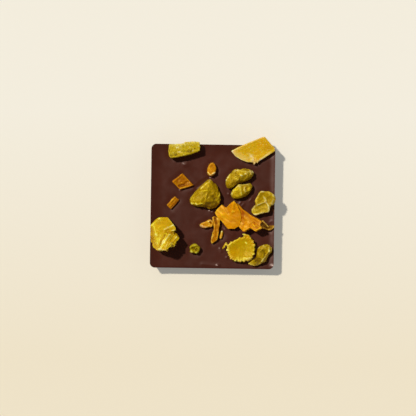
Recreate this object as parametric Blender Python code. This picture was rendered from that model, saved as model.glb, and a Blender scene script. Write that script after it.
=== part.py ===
"""A chocolate napolitain: a small square of dark chocolate set with dried and candied fruit.

Metres, +Z up. The origin is the middle of the square's underside. Seen from above, +X runs to
the right and +Y to the far side. Every piece is one closed solid, and the fruit sits in
shallow pits that it has pressed into the chocolate.
"""

import math
from dataclasses import dataclass

import bmesh
import bpy
import numpy as np
from mathutils import Vector, noise

MM = 0.001

# The chocolate square: it was poured into a mould, so its open face is up and its walls lean in
SQUARE_SIDE = 40 * MM
POURED_LEVEL = 5 * MM
CORNER_RADIUS = 1.6 * MM
CORNER_STEPS = 6
WALL_LEAN = math.radians(8)
FOOT_ROUNDING = 0.6 * MM
FOOT_STEPS = 2
RIM_RISE = 0.3 * MM  # how far the chocolate climbed the mould's wall
RIM_WIDTH = 1.5 * MM
RIM_STEPS = 3

# The room between a piece of fruit and the pit that holds it
PIT_CLEARANCE = 0.3 * MM

# Skin folds are this much longer than they are wide
FOLD_STRETCH = 2.2

# Edges sharper than this stay crisp in the smooth shading
CRISP_ANGLE = math.radians(50)

DISPLAY_GAMMA = 2.2

COLOURS = {
    "dark_chocolate": ((76, 42, 31), 0.38),
    "golden_raisin": ((176, 141, 22), 0.5),
    "mango": ((222, 148, 16), 0.5),
    "pale_mango": ((219, 176, 48), 0.55),
    "pineapple": ((212, 172, 30), 0.5),
    "sugared_citrus": ((184, 160, 40), 0.7),
}


@dataclass
class Fruit:
    """One piece of fruit: a ball whose equator is drawn out to the piece's outline.

    Points are (X, Y) or (X, Y, height) in millimetres, heights from the poured level."""

    name: str
    finish: str
    outline: list  # clockwise, seen from above
    heart: tuple  # the point halfway between the ball's poles
    rise: float  # from the middle surface up to the upper face
    drop: float  # and down to the lower face
    edge: float | None = None  # height of the outline where a point gives none
    fullness: float = 2.0  # 2 gives a round section, more gives flat faces and a steep edge
    cup: float = 2.0  # 1 draws the middle surface out to a cone, 2 to a smooth bowl
    crisp: float = 0.0  # 0 gives a curved outline, 1 straight edges and sharp corners
    step: float = 0.95  # spacing of the points along the outline
    rings: int = 10
    fold_depth: float = 0.0  # skin folds: their depth, width and direction in degrees
    fold_width: float = 2.0
    fold_heading: float = 0.0
    ribs: float = 0.0  # fibres that fan out from the heart to the near edge
    fray: float = 0.0  # teeth of a torn edge


# The fruit that is large enough to be a piece of its own
SUGARED_STICK = Fruit(
    "sugared_stick", "sugared_citrus",
    outline=[(-14.5, 19.9), (-11, 20.1), (-9.4, 20.6), (-6.3, 20.9), (-4.5, 20.4),
             (-4.3, 17.7), (-5.5, 17), (-9.5, 16), (-12.1, 15.7), (-14.3, 15.4), (-14.7, 17)],
    heart=(-9.5, 18.2, 1.8), rise=2.2, drop=2.2, fullness=3.6, crisp=0.4,
    fold_depth=0.3, fold_width=1.7, fold_heading=8,
)
MANGO_SLICE = Fruit(
    "mango_slice", "pale_mango",
    outline=[(5.8, 18, 1.1), (11, 20.6, 1.4), (16.4, 22.7, 1.8), (18.9, 19.9, 1.6),
             (19.8, 19, 1.4), (16.6, 16.4, 1.1), (13.4, 14, 0.9), (10.9, 14.4, 1.2),
             (8.9, 15.1, 1.1), (7.2, 16.2, 1)],
    heart=(12.6, 18, 0.7), rise=0.7, drop=0.7, fullness=5, crisp=0.75,
    step=1.1, rings=8, fold_depth=0.12, fold_width=2.4, fold_heading=25,
)
RAISIN_LARGE = Fruit(
    "raisin_large", "golden_raisin",
    outline=[(-0.9, 8.6), (0.5, 7.6), (1.7, 5.5), (2.3, 3.4), (2.1, 1.2), (-0.1, -0.6),
             (-3.2, 0), (-5.4, 0), (-6.8, 0.7), (-7.6, 2.2), (-5.2, 4.9), (-3, 7.3)],
    heart=(-2.1, 3.4, 1.3), edge=1, rise=2.9, drop=2, fullness=2.4,
    fold_depth=0.55, fold_width=3.2, fold_heading=50,
)
RAISIN_UPPER = Fruit(
    "raisin_upper", "golden_raisin",
    outline=[(4.3, 8.3), (5.4, 10.4), (6.7, 11.9), (8.6, 12.3), (10.8, 12.6), (12.5, 12),
             (12.9, 10.7), (12, 9.4), (9.8, 8.2), (7.3, 7.3), (5.9, 6), (4.6, 6.3)],
    heart=(8.5, 9.7, 1.4), rise=2.7, drop=2, step=0.85,
    fold_depth=0.5, fold_width=2, fold_heading=38,
)
RAISIN_MIDDLE = Fruit(
    "raisin_middle", "golden_raisin",
    outline=[(8.7, 7.2), (10.5, 7.5), (12, 7.6), (12.7, 6.5), (11.9, 4.8), (10.5, 3.6),
             (8.9, 2.9), (6.8, 2.8), (6.1, 3.9), (6.5, 5.1)],
    heart=(9.4, 5.3, 1.2), rise=2.2, drop=1.9, step=0.85,
    fold_depth=0.45, fold_width=2.4, fold_heading=30,
)
RAISIN_RIGHT = Fruit(
    "raisin_right", "golden_raisin",
    outline=[(15.4, 5.1, 2.3), (17.8, 5.1, 2.4), (19.6, 4.2, 2.6), (20.3, 2.6, 2.6),
             (19.4, 0.8, 2.3), (18.6, -0.1, 2), (18, -1.5, 2), (16.3, -1.8, 1.9),
             (13.9, -2.7, 1.7), (12.7, -1.8, 1.5), (12.5, -0.7, 1.5), (13.5, 0.6, 1.6),
             (13.6, 2.1, 1.8), (14.4, 3.5, 2.1)],
    heart=(16.3, 1.3, 1), rise=1.3, drop=1.4, fullness=3.2,
    fold_depth=0.35, fold_width=2.6, fold_heading=60,
)
RAISIN_CORNER = Fruit(
    "raisin_corner", "golden_raisin",
    outline=[(14.7, -14.3, 1), (15.3, -12.9, 1.2), (16.8, -12, 1.5), (18.8, -12.4, 1.6),
             (19.4, -13.6, 1.5), (18.3, -15.4, 1.3), (17.2, -17.3, 1), (15.7, -18.2, 0.8),
             (13.8, -18.9, 0.6), (11.8, -18.3, 0.4), (12.6, -17.5, 0.6), (14.3, -16.3, 0.8)],
    heart=(15.6, -16, 1.1), rise=1.9, drop=1.7, fullness=2.3, step=0.85,
    fold_depth=0.45, fold_width=2.2, fold_heading=60,
)
PEEL_STRIP = Fruit(
    "peel_strip", "mango",
    outline=[(0.4, -4), (1.6, -4.3), (2.2, -5.5), (2.4, -7.2), (2.1, -9.7), (1.4, -11),
             (-0.1, -12), (-0.1, -9.6), (0.5, -7.5), (0.6, -5.4)],
    heart=(1.4, -7.8, 0.7), rise=0.9, drop=0.9, fullness=3, crisp=0.3, rings=8,
    fold_depth=0.2, fold_width=1.6, fold_heading=80,
)
PINEAPPLE_PIECE = Fruit(
    "pineapple_piece", "pineapple",
    outline=[(-20.1, -6.8, 0.6), (-18.6, -4.4, 0.5), (-17, -3.7, 0.5), (-14, -3.6, 1),
             (-13, -5, 2.4), (-11.8, -6.5, 3.8), (-11.6, -8.4, 5), (-10.5, -10.4, 4.3),
             (-12.1, -13.2, 4.8), (-13.5, -13.1, 6.2), (-14.6, -14.6, 7.1),
             (-17.4, -14.6, 3.2), (-19, -13, 0.9), (-19.7, -10.1, 0.5)],
    heart=(-15.2, -7.6, 4.2), rise=0.9, drop=1, fullness=4.5, cup=1.4, crisp=0.6,
    ribs=0.22, fray=0.22, fold_depth=0.3, fold_width=3, fold_heading=-60,
)
FRUIT_DISC = Fruit(
    "fruit_disc", "pineapple",
    outline=[(4.7, -13.2), (5.5, -12), (8, -10.4), (10.5, -9.6), (12.3, -9.8), (13.6, -11.5),
             (13.8, -13.5), (13.3, -15.7), (11.1, -17.3), (8.3, -17.5), (6.5, -17),
             (5.3, -15.4)],
    heart=(9.4, -13.6, 0.9), edge=1.8, rise=0.9, drop=1.1, fullness=4, step=0.75,
    fray=0.22, fold_depth=0.2, fold_width=2.5,
)

# The folded slice of mango is three leaves that grow into one another
MANGO_LEAVES = [
    Fruit(
        "mango_fold", "mango",
        outline=[(3, 0.8, 0.8), (4.5, -0.4, 1.2), (6.9, 2.1, 3), (8.1, 0.8, 2.8),
                 (9, -1.6, 2.6), (9.1, -3.9, 2.4), (8.8, -5.9, 2), (6.9, -7.1, 1.5),
                 (5.1, -7.1, 1.1), (3.6, -4.8, 0.7), (1.2, -2.5, 0.4), (1.3, -1.3, 0.5)],
        heart=(5.7, -2.8, 1.3), rise=0.7, drop=0.8, fullness=4, crisp=0.5,
        fold_depth=0.25, fold_width=3, fold_heading=70,
    ),
    Fruit(
        "mango_right_leaf", "mango",
        outline=[(7.9, 1.1, 2), (11.3, -1.9, 2.6), (14.4, -3.5, 3.6), (16.2, -4.6, 4),
                 (15.4, -5.6, 4.2), (16, -6.5, 4.6), (14.1, -7.8, 4.3), (12.2, -6.6, 3.4),
                 (10.9, -8, 3.1), (9.2, -7.1, 2), (7.6, -4.5, 1.1), (7, -1.5, 1.1)],
        heart=(11.3, -4.4, 2.3), rise=0.7, drop=0.8, fullness=4, crisp=0.5,
        fold_depth=0.3, fold_width=2.6, fold_heading=-40,
    ),
    Fruit(
        "mango_tail", "mango",
        outline=[(15, -4.2, 3.4), (16.9, -4.5, 2.7), (17.9, -5.6, 1.6), (18.6, -6.2, 1),
                 (20, -5.8, 0.8), (19.8, -6.5, 0.6), (18.6, -7.4, 0.7), (16.9, -7, 1.8),
                 (15, -6, 3.6)],
        heart=(17.9, -6.7, 1), rise=0.6, drop=0.7, fullness=3, cup=1.3, step=0.9, rings=8,
    ),
]

# Two torn fibres hang off the disc's edge
DISC_FIBRES = [
    Fruit(
        "left_fibre", "pineapple",
        outline=[(4, -11.7), (4.5, -11.6), (5.8, -12.9), (5.4, -13.6), (4.5, -12.4),
                 (3.6, -13.9), (3.1, -13.6)],
        heart=(4.5, -12.2, 1.6), rise=0.35, drop=0.35, step=0.6, rings=6,
    ),
    Fruit(
        "far_fibre", "pineapple",
        outline=[(9.6, -8.7), (10.4, -8.6), (11.9, -9.1), (12.1, -10.2), (11.4, -10.4),
                 (11.2, -9.5), (10.2, -9.2)],
        heart=(11.4, -9.5, 1.9), rise=0.35, drop=0.45, step=0.6, rings=6,
    ),
]

# Crumbs of fruit too small to be pieces of their own: they're fused to the chocolate
CRUMBS = [
    Fruit(
        "nugget_far", "mango",
        outline=[(-0.3, 14.3), (0.7, 13.7), (1, 12.2), (0.7, 10.4), (-0.8, 9.7),
                 (-1.9, 10.5), (-1.9, 12.1), (-1.4, 13.5)],
        heart=(-0.5, 12, 0.8), rise=1.3, drop=1.2, step=1, rings=8,
        fold_depth=0.3, fold_width=1.5,
    ),
    Fruit(
        "nugget_near", "mango",
        outline=[(-4, -5.8), (-2.2, -4.9), (-0.8, -4.2), (0, -4.9), (-0.2, -6.3), (-1.3, -6.6),
                 (-2.3, -7.2), (-3.7, -6.6)],
        heart=(-1.8, -5.7, 0.7), rise=1.1, drop=1.1, step=1, rings=8,
        fold_depth=0.25, fold_width=1.5,
    ),
    Fruit(
        "mango_flake", "mango",
        outline=[(-9.9, 10.6, 0.5), (-8.4, 8.9, 0.6), (-6.3, 6.8, 0.9), (-8.6, 5.9, 0.6),
                 (-11, 5.4, 0.4), (-13.2, 7.8, 0.4)],
        heart=(-9.6, 7.6, 0.3), rise=0.5, drop=0.6, fullness=5, crisp=0.9, step=1.3, rings=6,
    ),
    Fruit(
        "mango_bar", "mango",
        outline=[(-12.3, 3.2), (-10.8, 2), (-13.4, -1.2), (-14.9, 0.3)],
        heart=(-12.9, 1.1, 0.3), rise=0.7, drop=0.7, fullness=5, crisp=0.9,
        step=1.1, rings=6,
    ),
    Fruit(
        "green_crumb", "golden_raisin",
        outline=[(-7.3, -14.2), (-6.5, -13), (-5.4, -12), (-4.2, -12.8), (-3.9, -13.7),
                 (-4.8, -15.2), (-6.5, -15)],
        heart=(-5.6, -13.7, 0.6), rise=1.2, drop=1, step=1, rings=8,
        fold_depth=0.3, fold_width=1.4,
    ),
    Fruit(
        "peel_sliver", "mango",
        outline=[(3.4, -7.8), (3.8, -8.4), (3.5, -9.7), (3.1, -10.5), (2.8, -9.8), (2.9, -8.7)],
        heart=(3.3, -9.2, 0.3), rise=0.5, drop=0.6, step=0.9, rings=6,
    ),
]


def finish_of(name):
    """A material with the colour and the roughness that the finish has."""
    material = bpy.data.materials.get(name)
    if material is None:
        material = bpy.data.materials.new(name)
        material.use_nodes = True
        shader = material.node_tree.nodes["Principled BSDF"]
        colour, roughness = COLOURS[name]
        linear = [(channel / 255) ** DISPLAY_GAMMA for channel in colour]
        shader.inputs["Base Color"].default_value = (*linear, 1)
        shader.inputs["Roughness"].default_value = roughness
        shader.inputs["Metallic"].default_value = 0
    return material


def add_object(name, mesh, finish):
    """Turns a bmesh into an object of the scene, shaded smooth except along its sharp edges."""
    data = bpy.data.meshes.new(name)
    mesh.to_mesh(data)
    mesh.free()
    data.shade_smooth()
    data.set_sharp_from_angle(angle=CRISP_ANGLE)
    data.materials.append(finish_of(finish))
    made = bpy.data.objects.new(name, data)
    bpy.context.scene.collection.objects.link(made)
    return made


def on_curve(before, start, end, after, share):
    """A point between start and end on the smooth curve through all four."""
    bend = (before - end) * 0.5 * share * (1 - share) ** 2
    bend += (after - start) * 0.5 * share**2 * (1 - share)
    ease = share * share * (3 - 2 * share)
    return start.lerp(end, ease) - bend


def edge_points(fruit):
    """Points along the outline, anticlockwise and in metres, with each of its corners kept."""
    edge = fruit.heart[2] if fruit.edge is None else fruit.edge
    corners = [Vector((*point, edge)[:3]) * MM for point in reversed(fruit.outline)]
    count = len(corners)
    heart = Vector(fruit.heart) * MM
    points = []
    for i, start in enumerate(corners):
        end = corners[(i + 1) % count]
        pieces = max(1, round((end - start).length / (fruit.step * MM)))
        for share in np.arange(pieces) / pieces:
            curved = on_curve(corners[i - 1], start, end, corners[(i + 2) % count], share)
            points.append(curved.lerp(start.lerp(end, share), fruit.crisp))
    for i, point in enumerate(points):
        outward = ((point - heart) * Vector((1, 1, 0))).normalized()
        tooth = fruit.fray * MM * (-1) ** i * (0.6 + 0.4 * noise.noise(Vector((i, 0.5, 0))))
        point += outward * tooth
    return points


def skin_fold(fruit, point):
    """How far a point of the skin is pushed out: ridges of noise, drawn out along the fruit."""
    heading = math.radians(fruit.fold_heading)
    along = point.x * math.cos(heading) + point.y * math.sin(heading)
    across = point.y * math.cos(heading) - point.x * math.sin(heading)
    width = fruit.fold_width * MM
    place = Vector((along / FOLD_STRETCH, across, point.z)) / width
    return fruit.fold_depth * MM * (0.5 - 1.6 * abs(noise.noise(place)))


def shaped_ball(fruit, grow=0.0):
    """The fruit's closed skin, a ball drawn out to its outline, moved outwards by grow."""
    rim = edge_points(fruit)
    count = len(rim)
    heart = Vector(fruit.heart) * MM
    mesh = bmesh.new()
    bmesh.ops.create_uvsphere(mesh, u_segments=count, v_segments=fruit.rings, radius=1)
    for vert in mesh.verts:
        spoke = round(math.atan2(-vert.co.x, vert.co.y) / math.tau * count) % count
        reach = min(1.0, math.hypot(vert.co.x, vert.co.y))
        body = (1 - reach**fruit.fullness) ** (1 / fruit.fullness)
        place = heart.lerp(rim[spoke], reach)
        place.z = heart.z + (rim[spoke].z - heart.z) * reach**fruit.cup
        place.z += POURED_LEVEL + body * MM * (fruit.rise if vert.co.z > 0 else -fruit.drop)
        if rim[spoke].y < heart.y:
            place.z += fruit.ribs * MM * (-1) ** spoke * reach * body
        vert.co = place
    mesh.normal_update()
    moves = [vert.normal * (skin_fold(fruit, vert.co) + grow) for vert in mesh.verts]
    for vert, move in zip(mesh.verts, moves):
        vert.co += move
    return mesh


def make_square():
    """The chocolate square: tapered walls, rounded corners and a rim that climbs at the edge."""
    height = POURED_LEVEL + RIM_RISE
    inset = height * math.tan(WALL_LEAN)
    mesh = bmesh.new()
    bmesh.ops.create_cube(mesh, size=1)
    for vert in mesh.verts:
        half = SQUARE_SIDE / 2 - (inset if vert.co.z < 0 else 0)
        vert.co = (math.copysign(half, vert.co.x), math.copysign(half, vert.co.y),
                   height if vert.co.z > 0 else 0)
    uprights = [e for e in mesh.edges if abs(e.verts[0].co.z - e.verts[1].co.z) > height / 2]
    bmesh.ops.bevel(mesh, geom=uprights, offset=CORNER_RADIUS, offset_type="OFFSET",
                    segments=CORNER_STEPS, profile=0.5, affect="EDGES")
    foot = [e for e in mesh.edges if max(v.co.z for v in e.verts) < height / 100]
    bmesh.ops.bevel(mesh, geom=foot, offset=FOOT_ROUNDING, offset_type="OFFSET",
                    segments=FOOT_STEPS, profile=0.5, affect="EDGES")
    top = [f for f in mesh.faces if f.calc_center_median().z > height * 0.99]
    for i in range(RIM_STEPS):
        share = (RIM_STEPS - i) / RIM_STEPS
        fall = RIM_RISE * (share**2 - (share - 1 / RIM_STEPS) ** 2)
        bmesh.ops.inset_region(mesh, faces=top, thickness=RIM_WIDTH / RIM_STEPS, depth=-fall)
    return add_object("chocolate_square", mesh, "dark_chocolate")


def join(base, others, name):
    """Fuses the others into base with one Boolean union, and removes them."""
    group = bpy.data.collections.new(name)
    for other in others:
        group.objects.link(other)
    union = base.modifiers.new(name, "BOOLEAN")
    union.operation = "UNION"
    union.solver = "EXACT"
    union.operand_type = "COLLECTION"
    union.collection = group
    with bpy.context.temp_override(object=base, active_object=base):
        bpy.ops.object.modifier_apply(modifier=union.name)
    for other in others:
        bpy.data.objects.remove(other)
    bpy.data.collections.remove(group)


def make_fruit(fruit):
    return add_object(fruit.name, shaped_ball(fruit), fruit.finish)


def press_pits(square, fruits):
    """Cuts the pit under each piece of fruit, a little larger than the piece itself."""
    group = bpy.data.collections.new("pit_shapes")
    bpy.context.scene.collection.children.link(group)
    for fruit in fruits:
        cutter = add_object(f"pit_{fruit.name}", shaped_ball(fruit, PIT_CLEARANCE), fruit.finish)
        bpy.context.scene.collection.objects.unlink(cutter)
        group.objects.link(cutter)
        cutter.hide_render = True
        cutter.display_type = "WIRE"
    pits = square.modifiers.new("pits", "BOOLEAN")
    pits.operation = "DIFFERENCE"
    pits.solver = "EXACT"
    pits.operand_type = "COLLECTION"
    pits.collection = group


def main():
    for existing in list(bpy.data.objects):
        bpy.data.objects.remove(existing)
    square = make_square()
    join(square, [make_fruit(crumb) for crumb in CRUMBS], "crumbs")

    whole_fruits = [SUGARED_STICK, MANGO_SLICE, RAISIN_LARGE, RAISIN_UPPER, RAISIN_MIDDLE,
                    RAISIN_RIGHT, RAISIN_CORNER, PEEL_STRIP, PINEAPPLE_PIECE]
    for fruit in whole_fruits:
        make_fruit(fruit)
    mango, *leaves = [make_fruit(leaf) for leaf in MANGO_LEAVES]
    join(mango, leaves, "mango_leaves")
    join(make_fruit(FRUIT_DISC), [make_fruit(fibre) for fibre in DISC_FIBRES], "disc_fibres")
    press_pits(square, [*whole_fruits, *MANGO_LEAVES, FRUIT_DISC, *DISC_FIBRES])


main()
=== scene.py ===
import math

import bpy
import numpy as np
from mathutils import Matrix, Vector, noise
from mathutils.bvhtree import BVHTree


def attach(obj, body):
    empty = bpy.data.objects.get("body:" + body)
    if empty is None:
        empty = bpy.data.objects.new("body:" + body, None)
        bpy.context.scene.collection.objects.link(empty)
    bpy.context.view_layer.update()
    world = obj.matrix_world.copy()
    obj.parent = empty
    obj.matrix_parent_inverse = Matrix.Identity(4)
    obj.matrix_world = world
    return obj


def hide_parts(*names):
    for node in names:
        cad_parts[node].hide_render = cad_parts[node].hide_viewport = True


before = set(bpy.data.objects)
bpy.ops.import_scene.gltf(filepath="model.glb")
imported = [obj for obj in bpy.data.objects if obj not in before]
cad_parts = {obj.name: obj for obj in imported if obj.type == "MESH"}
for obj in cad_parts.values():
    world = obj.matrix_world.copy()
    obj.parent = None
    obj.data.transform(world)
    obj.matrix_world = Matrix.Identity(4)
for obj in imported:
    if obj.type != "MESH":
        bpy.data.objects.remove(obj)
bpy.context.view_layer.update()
scene = bpy.context.scene
mm = 0.001
pouredLevel = 5.0  # the chocolate's open face, in millimetres above the table
noise.seed_set(5)  # for noise_vector, which draws its offsets
print("frame loaded")


# Selecting, editing and applying

def selectOnly(piece):
    bpy.ops.object.select_all(action="DESELECT")
    piece.select_set(True)
    bpy.context.view_layer.objects.active = piece


def applyModifiers(piece):
    selectOnly(piece)
    for modifier in list(piece.modifiers):
        bpy.ops.object.modifier_apply(modifier=modifier.name)


def editAll(piece):
    selectOnly(piece)
    bpy.ops.object.mode_set(mode="EDIT")
    bpy.ops.mesh.select_all(action="SELECT")


def doneEditing():
    bpy.ops.object.mode_set(mode="OBJECT")


def addFace(name, corners):
    # a filled circle, whose corners are then moved to an outline
    bpy.ops.object.select_all(action="DESELECT")
    bpy.ops.mesh.primitive_circle_add(vertices=corners, radius=mm, fill_type="NGON")
    piece = bpy.context.object
    piece.name = name
    return piece


# A dense skin on a piece of fruit, and the ways to shape it

def copyFruit(nodeName, pieceName):
    piece = bpy.data.objects.new(pieceName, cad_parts[nodeName].data.copy())
    scene.collection.objects.link(piece)
    piece.data.materials.clear()
    editAll(piece)
    bpy.ops.mesh.remove_doubles(threshold=0.005 * mm)
    doneEditing()
    return piece


def growSkin(piece, grain, easing):
    remesh = piece.modifiers.new("skin", "REMESH")
    remesh.mode = "VOXEL"
    remesh.voxel_size = grain * mm
    ease = piece.modifiers.new("ease", "SMOOTH")
    ease.factor = 0.5
    ease.iterations = easing
    applyModifiers(piece)
    piece.data.shade_smooth()


def readPoints(mesh, what):
    # the places or the normals of a mesh's points, one to a row
    values = np.empty(len(mesh.vertices) * 3)
    mesh.vertices.foreach_get(what, values)
    return values.reshape(-1, 3)


def pushSkin(piece, howFar):
    # moves the skin along its normals, by howFar(place, normal) in millimetres
    mesh = piece.data
    places, normals = readPoints(mesh, "co"), readPoints(mesh, "normal")
    heights = np.array([howFar(Vector(place / mm), Vector(normal))
                        for place, normal in zip(places, normals)])
    mesh.vertices.foreach_set("co", (places + normals * heights[:, None] * mm).ravel())
    mesh.update()


ridgeSharpness = 1.5  # a groove is round at its foot


def pressMarks(place, marks):
    # ridges and grooves drawn between two points, seen from above: x1, y1, x2, y2, width, height
    total = 0.0
    spot = place.xy
    for x1, y1, x2, y2, width, height in marks:
        start, along = Vector((x1, y1)), Vector((x2 - x1, y2 - y1))
        share = (spot - start).dot(along) / max(along.length_squared, 0.01)
        away = (spot - start - along * min(1, max(0, share))).length / width
        if away < 1:
            total += height * ((1 - away) ** ridgeSharpness if height > 0 else (1 - away * away) ** 2)
    return total


crests = {"easing": 14, "sideFade": 0.4, "sideLeast": 0.15}


def keepCrests(piece, relief, paintedLightAndTone):
    # how far each point stands out of the skin around it, and brush strokes, for the colours: painted
    # shade in the hollows and painted highlight on the crests; the strokes add painted highlights,
    # painted shade and some of the fruit's own tone
    mesh = piece.data
    count = len(mesh.vertices)
    places, normals = readPoints(mesh, "co"), readPoints(mesh, "normal")
    ends = np.empty(len(mesh.edges) * 2, dtype=np.int32)
    mesh.edges.foreach_get("vertices", ends)
    first, second = ends.reshape(-1, 2).T
    neighbours = np.bincount(ends, minlength=count)[:, None]
    eased = places.copy()
    for _ in range(crests["easing"]):
        eased = np.stack([np.bincount(first, eased[second, axis], count)
                          + np.bincount(second, eased[first, axis], count)
                          for axis in range(3)], axis=1) / neighbours
    standing = ((places - eased) * normals).sum(axis=1) / mm
    strokes = np.array([pressMarks(Vector(place / mm), paintedLightAndTone) for place in places])
    strokes *= np.clip(normals[:, 2] + crests["sideFade"], crests["sideLeast"], 1)
    crest = mesh.attributes.new("crest", "FLOAT", "POINT")
    crest.data.foreach_set("value", np.clip(0.5 + standing / relief + strokes, 0, 1))


def turned(place, heading):
    # a place measured along and across a direction
    angle = math.radians(heading)
    along = place.x * math.cos(angle) + place.y * math.sin(angle)
    across = place.y * math.cos(angle) - place.x * math.sin(angle)
    return along, across


folds = {
    "bendScale": 0.9, "bend": 0.6, "sharpness": 1.4, "level": 0.7,
    "wrinkleScale": 2.6, "wrinkleWidth": 1.2, "wrinkleSharpness": 1.5, "wrinkleLevel": 0.5,
}


def skinFolds(place, normal, look):
    # dents with sharp crests between them, as on the skin of a raisin, and finer wrinkles
    along, across = turned(place, look["heading"])
    spot = Vector((along / look["foldLength"], across / look["foldWidth"],
                   place.z / look["foldWidth"] + look["seed"]))
    spot += noise.noise_vector(spot * folds["bendScale"]) * folds["bend"]
    near = noise.voronoi(spot)[0]
    fold = (1 - min(1, near[1] - near[0])) ** folds["sharpness"]
    near = noise.voronoi(spot * folds["wrinkleScale"])[0]
    away = min(1, folds["wrinkleWidth"] * (near[1] - near[0]))
    wrinkle = (1 - away) ** folds["wrinkleSharpness"]
    return (look["foldHeight"] * (fold - folds["level"])
            + look["wrinkleHeight"] * (wrinkle - folds["wrinkleLevel"])
            + max(0.0, normal.z) * pressMarks(place, look["marks"])
            + pressMarks(place, look.get("notches", ())))


fruitPieces = []


def dressFruit(piece, look, howFar):
    growSkin(piece, look["grain"], look["easing"])
    pushSkin(piece, howFar)
    keepCrests(piece, look["relief"], look["paintedLightAndTone"])
    fruitPieces.append(piece)


def finishPiece(piece, material, slot, *nodeNames):
    piece.data.materials.clear()
    piece.data.materials.append(material)
    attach(piece, "root")
    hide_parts(*nodeNames)


# Materials

def linear(red, green, blue):
    # a colour picked from the screen, as the shader wants it
    return tuple(((c / 255 + 0.055) / 1.055) ** 2.4 if c > 10 else c / 255 / 12.92
                 for c in (red, green, blue)) + (1.0,)


def grey(value):
    return (value, value, value, 1)


def newMaterial(name):
    material = bpy.data.materials.new(name)
    material.use_nodes = True
    return material, material.node_tree.nodes, material.node_tree.links


def noiseNode(nodes, links, scale, stretch=(1, 1, 1), turn=0.0, **sockets):
    # a pattern in millimetres on the object's own coordinates
    place = nodes.new("ShaderNodeTexCoord")
    mapping = nodes.new("ShaderNodeMapping")
    mapping.inputs["Rotation"].default_value = (0, 0, math.radians(turn))
    mapping.inputs["Scale"].default_value = [scale * s / mm for s in stretch]
    pattern = nodes.new("ShaderNodeTexNoise")
    pattern.inputs["Scale"].default_value = 1.0
    for socket, value in sockets.items():
        pattern.inputs[socket].default_value = value
    links.new(place.outputs["Object"], mapping.inputs["Vector"])
    links.new(mapping.outputs["Vector"], pattern.inputs["Vector"])
    return pattern


def rampNode(source, stops):
    tree = source.id_data
    ramp = tree.nodes.new("ShaderNodeValToRGB")
    elements = ramp.color_ramp.elements
    elements[0].position, elements[0].color = stops[0]
    elements[1].position, elements[1].color = stops[-1]
    for position, colour in stops[1:-1]:
        elements.new(position).color = colour
    tree.links.new(source, ramp.inputs["Fac"])
    return ramp.outputs["Color"]


def mixNode(blend, factor, first, second):
    tree = first.id_data
    mix = tree.nodes.new("ShaderNodeMix")
    mix.data_type = "RGBA"
    mix.blend_type = blend
    if isinstance(factor, float):
        mix.inputs["Factor"].default_value = factor
    else:
        tree.links.new(factor, mix.inputs["Factor"])
    for socket, value in (("A", first), ("B", second)):
        port = next(i for i in mix.inputs if i.name == socket and i.type == "RGBA")
        if isinstance(value, tuple):
            port.default_value = value
        else:
            tree.links.new(value, port)
    return next(o for o in mix.outputs if o.type == "RGBA")


swing = {"low": 0.3, "high": 0.7, "depth": 0.1}  # a pattern's ends, and how far it stands out


def roughen(nodes, links, shader, source, roughness, strength):
    # a roughness for the pattern's low parts and one for its high parts, which stand out
    low, high = roughness
    links.new(rampNode(source,
                       [(swing["low"], grey(low)), (swing["high"], grey(high))]),
              shader.inputs["Roughness"])
    bump = nodes.new("ShaderNodeBump")
    bump.inputs["Strength"].default_value = strength
    bump.inputs["Distance"].default_value = swing["depth"] * mm
    links.new(source, bump.inputs["Height"])
    links.new(bump.outputs["Normal"], shader.inputs["Normal"])


flesh = {
    "hollowTo": 0.12, "bodyFrom": 0.42, "bodyTo": 0.6, "crestAt": 0.88,  # of the crests kept
    "patchFrom": 0.42, "patchTo": 0.62, "patchMost": 0.7, "speckEdge": 0.08, "speckMost": 0.85,
    "fibreDark": 0.7, "fibreLight": 1.2, "duller": 0.12, "shinier": 0.1,
    "glowRadius": (1.0, 0.55, 0.12), "glowDepth": 1.0, "specular": 0.4,
    "specularTint": (1.0, 0.8, 0.2, 1),
}


plainFlesh = {"patchScale": 0.5, "speckScale": 1.8, "fibreScale": 1.6, "fibreStretch": 0.8,
              "heading": 0, "bump": 0.4, "depth": 0.3}


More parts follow.
